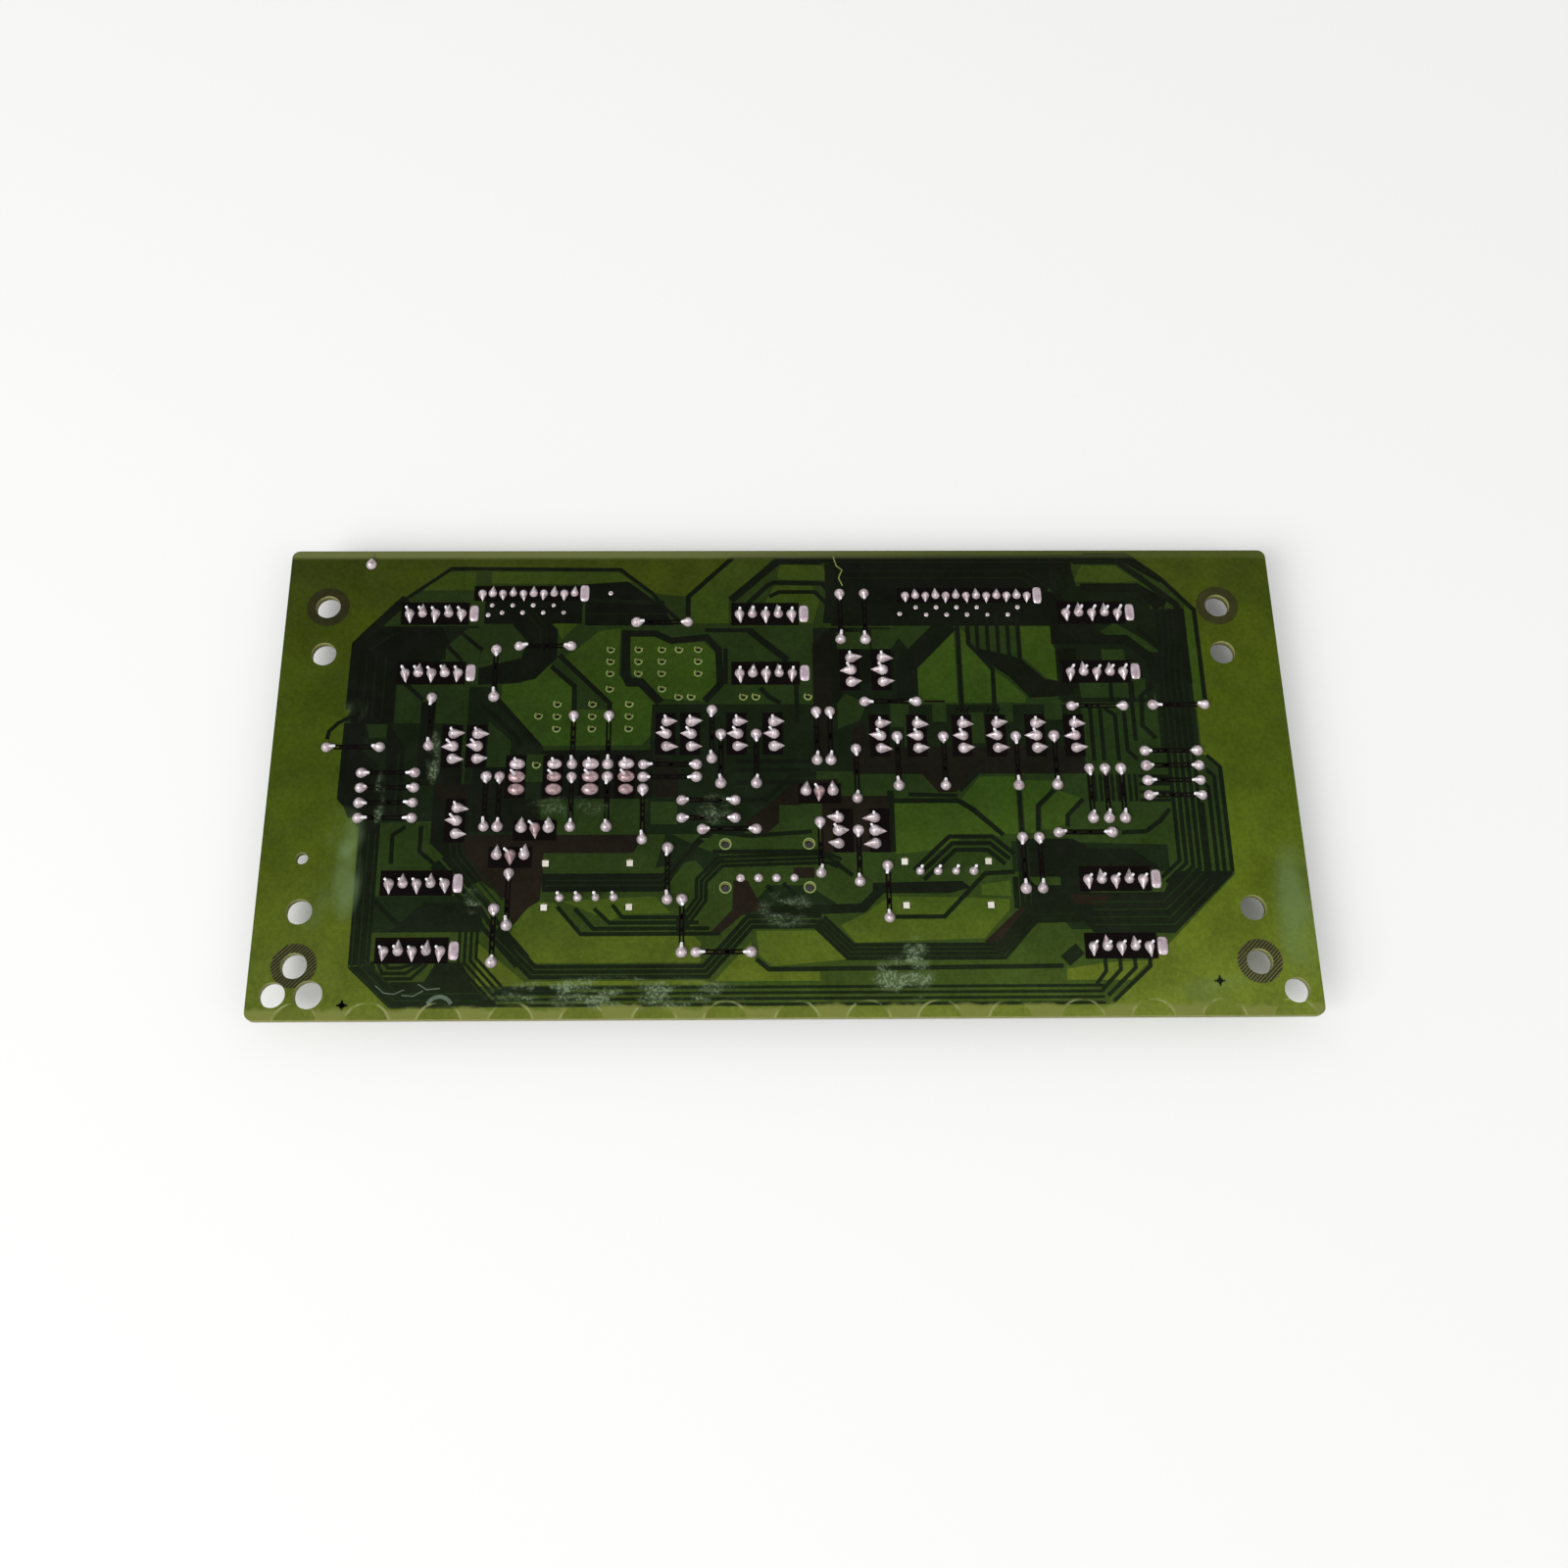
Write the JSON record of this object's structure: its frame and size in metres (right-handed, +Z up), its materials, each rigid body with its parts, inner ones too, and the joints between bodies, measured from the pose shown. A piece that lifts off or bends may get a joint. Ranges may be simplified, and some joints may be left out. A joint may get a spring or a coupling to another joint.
{
  "type": "oven display control board",
  "caption": "Double-sided circuit board with digit displays, pin connectors, lamp blocks and small leaded parts, lying solder side up.",
  "frame": {"origin": "under the middle of the board, on the plane of the digits' faces that it rests on", "axes": "+X along the board's length, +Y across it towards the connectors, +Z up out of the solder side"},
  "size_m": [0.193, 0.094, 0.0131],
  "materials": {
    "laminate": "green lacquer over glass-fibre laminate",
    "copper_under_lacquer": "dark copper tracks under green lacquer",
    "solder": "bright wave-soldered tin",
    "digit_plastic": "grey moulded housing",
    "digit_resin": "milky diffusing resin",
    "tinned_metal": "tinned leads",
    "connector_plastic": "natural nylon",
    "transistor_plastic": "black moulding compound",
    "resistor_lacquer": "tan lacquer with plain bands",
    "diode_glass": "small glass body with one band",
    "lamp_plastic": "white moulded reflector block",
    "lamp_lens": "milky lens"
  },
  "bodies": {
    "root": {"circuit_board": "laminate", "connector_joints": "solder", "digit_bottom_left_housing": "digit_plastic", "digit_bottom_left_pins": "tinned_metal", "digit_bottom_left_segments": "digit_resin", "digit_bottom_right_housing": "digit_plastic", "digit_bottom_right_pins": "tinned_metal", "digit_bottom_right_segments": "digit_resin", "digit_joints": "solder", "digit_top_left_housing": "digit_plastic", "digit_top_left_pins": "tinned_metal", "digit_top_left_segments": "digit_resin", "digit_top_middle_housing": "digit_plastic", "digit_top_middle_pins": "tinned_metal", "digit_top_middle_segments": "digit_resin", "digit_top_right_housing": "digit_plastic", "digit_top_right_pins": "tinned_metal", "digit_top_right_segments": "digit_resin", "diodes": "diode_glass", "lamp_joints": "solder", "left_connector_housing": "connector_plastic", "left_connector_pins": "tinned_metal", "left_lamp_housing": "lamp_plastic", "left_lamp_leads": "tinned_metal", "left_lamp_lenses": "lamp_lens", "resistors": "resistor_lacquer", "right_connector_housing": "connector_plastic", "right_connector_pins": "tinned_metal", "right_lamp_housing": "lamp_plastic", "right_lamp_leads": "tinned_metal", "right_lamp_lenses": "lamp_lens", "solder_pads": "solder", "solder_side_tracks": "copper_under_lacquer", "transistor_01": "transistor_plastic", "transistor_02": "transistor_plastic", "transistor_03": "transistor_plastic", "transistor_04": "transistor_plastic", "transistor_05": "transistor_plastic", "transistor_06": "transistor_plastic", "transistor_07": "transistor_plastic", "transistor_08": "transistor_plastic", "transistor_09": "transistor_plastic", "transistor_10": "transistor_plastic", "transistor_11": "transistor_plastic", "transistor_12": "transistor_plastic", "transistor_13": "transistor_plastic", "transistor_14": "transistor_plastic", "transistor_15": "transistor_plastic", "transistor_16": "transistor_plastic", "transistor_17": "transistor_plastic", "transistor_18": "transistor_plastic", "transistor_19": "transistor_plastic", "transistor_20": "transistor_plastic", "transistor_21": "transistor_plastic", "transistor_22": "transistor_plastic", "transistor_23": "transistor_plastic", "transistor_24": "transistor_plastic", "transistor_joints": "solder", "two_lead_joints": "solder"}
  },
  "joints": []
}
